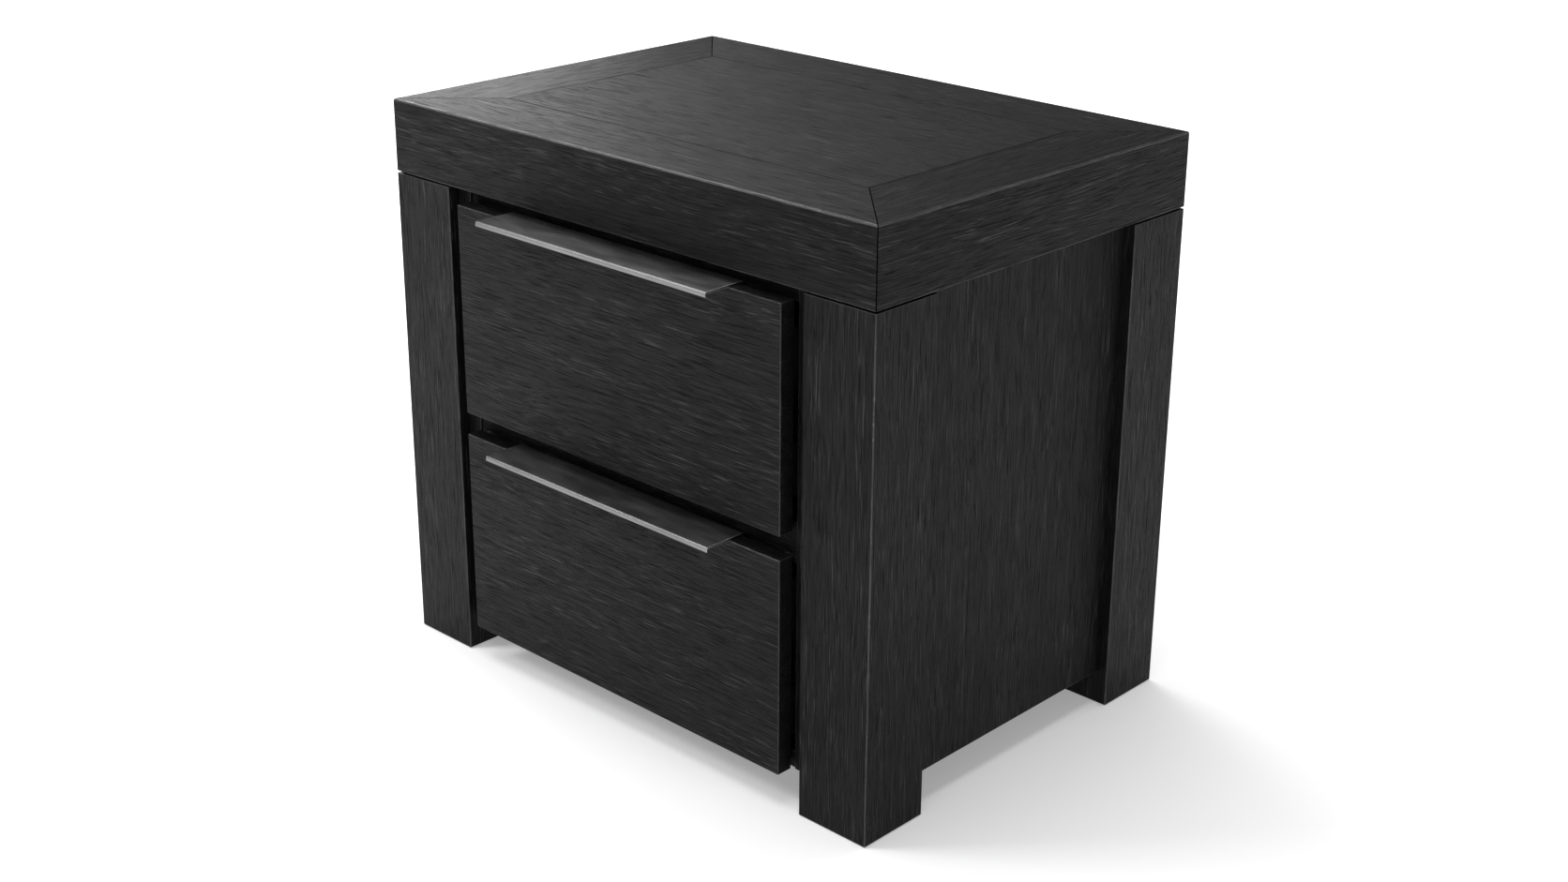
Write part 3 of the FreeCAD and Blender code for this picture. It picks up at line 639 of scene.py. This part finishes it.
# %% The pull's tree
def bent_plate_tree():
    """Outline in, bent plate out: rounded at its bends, run along X."""
    tree = bpy.data.node_groups.new("bent_plate", "GeometryNodeTree")
    face = tree.interface
    face.new_socket("Outline", in_out="INPUT", socket_type="NodeSocketGeometry")
    face.new_socket("Length", in_out="INPUT", socket_type="NodeSocketFloat")
    face.new_socket("Finish", in_out="INPUT", socket_type="NodeSocketMaterial")
    face.new_socket("Plate", in_out="OUTPUT", socket_type="NodeSocketGeometry")
    add = tree.nodes.new
    join = tree.links.new
    start = add("NodeGroupInput")
    curve = add("GeometryNodeMeshToCurve")
    join(start.outputs["Outline"], curve.inputs["Mesh"])
    bends = add("GeometryNodeInputNamedAttribute")
    bends.data_type = "FLOAT"
    bends.inputs["Name"].default_value = "bend"
    rounded = add("GeometryNodeFilletCurve")
    if "Mode" in rounded.inputs:
        rounded.inputs["Mode"].default_value = "Poly"
    else:
        rounded.mode = "POLY"
    rounded.inputs["Count"].default_value = 6
    join(curve.outputs["Curve"], rounded.inputs["Curve"])
    join(bends.outputs["Attribute"], rounded.inputs["Radius"])
    filled = add("GeometryNodeFillCurve")
    if "Mode" in filled.inputs:
        filled.inputs["Mode"].default_value = "N-gons"
    else:
        filled.mode = "NGONS"
    join(rounded.outputs["Curve"], filled.inputs["Curve"])
    run = add("ShaderNodeCombineXYZ")
    join(start.outputs["Length"], run.inputs["Z"])
    pulled = add("GeometryNodeExtrudeMesh")
    pulled.inputs["Individual"].default_value = False
    pulled.inputs["Offset Scale"].default_value = 1.0
    join(filled.outputs["Mesh"], pulled.inputs["Mesh"])
    join(run.outputs["Vector"], pulled.inputs["Offset"])
    turned = add("GeometryNodeFlipFaces")
    join(filled.outputs["Mesh"], turned.inputs["Mesh"])
    both = add("GeometryNodeJoinGeometry")
    join(pulled.outputs["Mesh"], both.inputs["Geometry"])
    join(turned.outputs["Mesh"], both.inputs["Geometry"])
    closed = add("GeometryNodeMergeByDistance")
    closed.inputs["Distance"].default_value = 0.01 * MM
    join(both.outputs["Geometry"], closed.inputs["Geometry"])
    stood = add("GeometryNodeTransform")
    stood.inputs["Rotation"].default_value = (math.radians(90), 0, math.radians(90))
    join(closed.outputs["Geometry"], stood.inputs["Geometry"])
    real = add("GeometryNodeRealizeInstances")
    join(stood.outputs["Geometry"], real.inputs["Geometry"])
    dress = add("GeometryNodeSetMaterial")
    join(real.outputs["Geometry"], dress.inputs["Geometry"])
    join(start.outputs["Finish"], dress.inputs["Material"])
    done = add("NodeGroupOutput")
    join(dress.outputs["Geometry"], done.inputs["Plate"])
    return tree


def evaluated_mesh(obj, tree, values):
    """Run a tree on an object and give back the plain mesh it makes."""
    modifier = obj.modifiers.new("make", "NODES")
    modifier.node_group = tree
    for item in tree.interface.items_tree:
        if item.in_out == "INPUT" and item.name in values:
            modifier[item.identifier] = values[item.name]
    seen_by = bpy.context.evaluated_depsgraph_get()
    mesh = bpy.data.meshes.new_from_object(obj.evaluated_get(seen_by))
    obj.modifiers.remove(modifier)
    return mesh


# %% Bend the two plates
SHEET = 2.0 * MM
BEND = 2.1 * MM
LIP = 5.0 * MM
EDGE_ROUND = 0.3 * MM
INNER_BEND = 0.15 * MM
RIM = 0.25 * MM
plate_tree = bent_plate_tree()


def edge_pull(drawer):
    """One pull, bent to the box of its CAD node."""
    node = drawer + "_drawer_handle"
    low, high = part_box(node)
    outline = [
        (high[1], low[2], 0.0), (high[1], high[2], BEND), (low[1], high[2], BEND),
        (low[1], high[2] - LIP, EDGE_ROUND), (low[1] + SHEET, high[2] - LIP, EDGE_ROUND),
        (low[1] + SHEET, high[2] - SHEET, EDGE_ROUND),
        (high[1] - SHEET, high[2] - SHEET, INNER_BEND), (high[1] - SHEET, low[2], 0.0),
    ]
    count = len(outline)
    flat = bpy.data.meshes.new(node + "_outline")
    flat.from_pydata([(across, up, 0) for across, up, _ in outline],
                     [(index, (index + 1) % count) for index in range(count)], [])
    bend = flat.attributes.new("bend", "FLOAT", "POINT")
    for index, (_, _, radius) in enumerate(outline):
        bend.data[index].value = radius
    sketch = bpy.data.objects.new(node + "_outline", flat)
    bpy.context.scene.collection.objects.link(sketch)
    mesh = evaluated_mesh(sketch, plate_tree, {"Length": high[0] - low[0], "Finish": PLATE})
    bpy.data.objects.remove(sketch)
    mesh.name = "bent_" + node
    shape = bmesh.new()
    shape.from_mesh(mesh)
    bmesh.ops.translate(shape, verts=shape.verts[:], vec=(low[0], 0, 0))
    bmesh.ops.recalc_face_normals(shape, faces=shape.faces[:])
    rims = [edge for edge in shape.edges if edge.calc_face_angle(0) > math.radians(75)
            and abs(edge.verts[0].co.x - edge.verts[1].co.x) < 1e-7]
    bmesh.ops.bevel(shape, geom=rims, offset=RIM, segments=1, profile=0.5, affect="EDGES",
                    clamp_overlap=True)
    shape.to_mesh(mesh)
    shape.free()
    piece = bpy.data.objects.new("bent_" + node, mesh)
    bpy.context.scene.collection.objects.link(piece)
    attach(piece, body_of[node])
    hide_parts(node)
    print(node, len(mesh.vertices), "points")


for drawer in ("upper", "lower"):
    edge_pull(drawer)

# %% [markdown]
# ## Screws
# All the screws are one shape in many places. A template screw with a cross recess is
# turned and set by a Geometry Nodes tree on one point for each CAD screw. The points are
# the middles of the CAD heads, and each carries the direction that its screw is driven.


# %% Screw template
def screw_template(name, head_radius, head_high, shank_radius, length):
    """A screw along +Z from the face of its head, with a cross recess."""
    shape = bmesh.new()
    sides = 16
    steps = [(head_radius * 0.55, 0.0), (head_radius * 0.88, head_high * 0.10),
             (head_radius, head_high * 0.35), (head_radius, head_high),
             (shank_radius, head_high), (shank_radius, length * 0.9), (shank_radius * 0.35, length)]
    rings = []
    for radius, rise in steps:
        ring = []
        for side in range(sides):
            turn = 2 * math.pi * side / sides
            ring.append(shape.verts.new((radius * math.cos(turn), radius * math.sin(turn), rise)))
        rings.append(ring)
    for inner, outer in zip(rings, rings[1:]):
        for side in range(sides):
            after = (side + 1) % sides
            shape.faces.new((inner[side], inner[after], outer[after], outer[side]))
    recess = []
    for side in range(sides):
        turn = 2 * math.pi * side / sides
        wide = 0.50 if side % 4 == 0 else 0.16
        recess.append(shape.verts.new((head_radius * wide * math.cos(turn),
                                       head_radius * wide * math.sin(turn), 0.0)))
    sunk = [shape.verts.new((vertex.co.x * 0.7, vertex.co.y * 0.7, head_high * 0.6))
            for vertex in recess]
    for side in range(sides):
        after = (side + 1) % sides
        shape.faces.new((recess[side], recess[after], rings[0][after], rings[0][side]))
        shape.faces.new((sunk[side], sunk[after], recess[after], recess[side]))
    shape.faces.new(sunk)
    shape.faces.new(list(reversed(rings[-1])))
    bmesh.ops.recalc_face_normals(shape, faces=shape.faces[:])
    mesh = bpy.data.meshes.new(name)
    shape.to_mesh(mesh)
    shape.free()
    template = bpy.data.objects.new(name, mesh)
    bpy.context.scene.collection.objects.link(template)
    return template


# %% Screw-setting tree
def screw_setting_tree():
    """Points in, screws out, each turned to its own driving direction."""
    tree = bpy.data.node_groups.new("set_screws", "GeometryNodeTree")
    face = tree.interface
    face.new_socket("Points", in_out="INPUT", socket_type="NodeSocketGeometry")
    face.new_socket("Screw", in_out="INPUT", socket_type="NodeSocketObject")
    face.new_socket("Finish", in_out="INPUT", socket_type="NodeSocketMaterial")
    face.new_socket("Seed", in_out="INPUT", socket_type="NodeSocketInt")
    face.new_socket("Screws", in_out="OUTPUT", socket_type="NodeSocketGeometry")
    add = tree.nodes.new
    join = tree.links.new
    start = add("NodeGroupInput")
    template = add("GeometryNodeObjectInfo")
    join(start.outputs["Screw"], template.inputs["Object"])
    drive = add("GeometryNodeInputNamedAttribute")
    drive.data_type = "FLOAT_VECTOR"
    drive.inputs["Name"].default_value = "drive"
    spin = add("FunctionNodeRandomValue")
    spin.data_type = "FLOAT"
    spin.inputs[2].default_value = 0.0
    spin.inputs[3].default_value = math.pi / 2
    join(start.outputs["Seed"], spin.inputs["Seed"])
    own = add("ShaderNodeCombineXYZ")
    join(spin.outputs[1], own.inputs["Z"])
    aim = add("FunctionNodeAlignRotationToVector")
    aim.axis = "Z"
    join(own.outputs["Vector"], aim.inputs["Rotation"])
    join(drive.outputs["Attribute"], aim.inputs["Vector"])
    place = add("GeometryNodeInstanceOnPoints")
    join(start.outputs["Points"], place.inputs["Points"])
    join(template.outputs["Geometry"], place.inputs["Instance"])
    join(aim.outputs["Rotation"], place.inputs["Rotation"])
    real = add("GeometryNodeRealizeInstances")
    join(place.outputs["Instances"], real.inputs["Geometry"])
    dress = add("GeometryNodeSetMaterial")
    join(real.outputs["Geometry"], dress.inputs["Geometry"])
    join(start.outputs["Finish"], dress.inputs["Material"])
    done = add("NodeGroupOutput")
    join(dress.outputs["Geometry"], done.inputs["Screws"])
    return tree


# %% Find the screws and set them
def loose_solids(node):
    """The separate solids of a CAD node, as lists of points."""
    shape = bmesh.new()
    shape.from_mesh(nodes[node].data)
    bmesh.ops.remove_doubles(shape, verts=shape.verts[:], dist=1e-6)
    waiting = set(shape.verts)
    solids = []
    while waiting:
        stack = [waiting.pop()]
        found = []
        while stack:
            vertex = stack.pop()
            found.append(vertex.co.copy())
            for edge in vertex.link_edges:
                other = edge.other_vert(vertex)
                if other in waiting:
                    waiting.remove(other)
                    stack.append(other)
        solids.append(found)
    shape.free()
    return solids


def read_screw(points):
    """Where a CAD screw's head face is, which way it is driven, and its sizes."""
    low = Vector([min(point[axis] for point in points) for axis in range(3)])
    high = Vector([max(point[axis] for point in points) for axis in range(3)])
    size = high - low
    middle = (low + high) / 2
    axis = max(range(3), key=lambda number: size[number])
    others = [number for number in range(3) if number != axis]
    radius = max(size[others[0]], size[others[1]]) / 2

    def away(point):
        return math.hypot(point[others[0]] - middle[others[0]], point[others[1]] - middle[others[1]])

    rim = [point[axis] for point in points if away(point) > 0.9 * radius]
    at_low = sum(rim) / len(rim) < middle[axis]
    head_high = (max(rim) - low[axis]) if at_low else (high[axis] - min(rim))
    drive = Vector((0, 0, 0))
    drive[axis] = 1 if at_low else -1
    head = middle.copy()
    head[axis] = low[axis] if at_low else high[axis]
    shank = min(away(point) for point in points if away(point) > 0.1 * radius)
    return head, drive, (radius, head_high, shank, size[axis])


setting = screw_setting_tree()


def set_screws(node):
    """Replace one node of CAD screws with cross-head screws in the same places."""
    found = [read_screw(points) for points in loose_solids(node)]
    template = screw_template(node + "_template", *found[0][2])
    spots = bpy.data.meshes.new(node + "_points")
    spots.from_pydata([tuple(head) for head, _, _ in found], [], [])
    drive = spots.attributes.new("drive", "FLOAT_VECTOR", "POINT")
    for index, (_, direction, _) in enumerate(found):
        drive.data[index].vector = direction
    holder = bpy.data.objects.new(node + "_points", spots)
    bpy.context.scene.collection.objects.link(holder)
    mesh = evaluated_mesh(holder, setting, {"Screw": template, "Finish": SCREW_STEEL, "Seed": 3})
    bpy.data.objects.remove(holder)
    bpy.data.objects.remove(template)
    mesh.name = "cross_" + node
    piece = bpy.data.objects.new("cross_" + node, mesh)
    bpy.context.scene.collection.objects.link(piece)
    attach(piece, body_of[node])
    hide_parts(node)
    print(node, len(found), "screws")


for node in sorted(slot_of):
    if slot_of[node] == "zinc_screw":
        set_screws(node)

# %% [markdown]
# ## What keeps its CAD shape
# The slide channels, glides and bumpers are already the right shape. They only need their
# finish, which takes the place of the plain CAD material.

# %% Dress the rest
kept = [node for node in nodes if slot_of[node] in ("slide_steel", "glide_plastic", "felt")]
for node in kept:
    nodes[node].data.materials.clear()
    nodes[node].data.materials.append(FINISHES[slot_of[node]])
print(len(kept), "nodes keep their CAD shape")
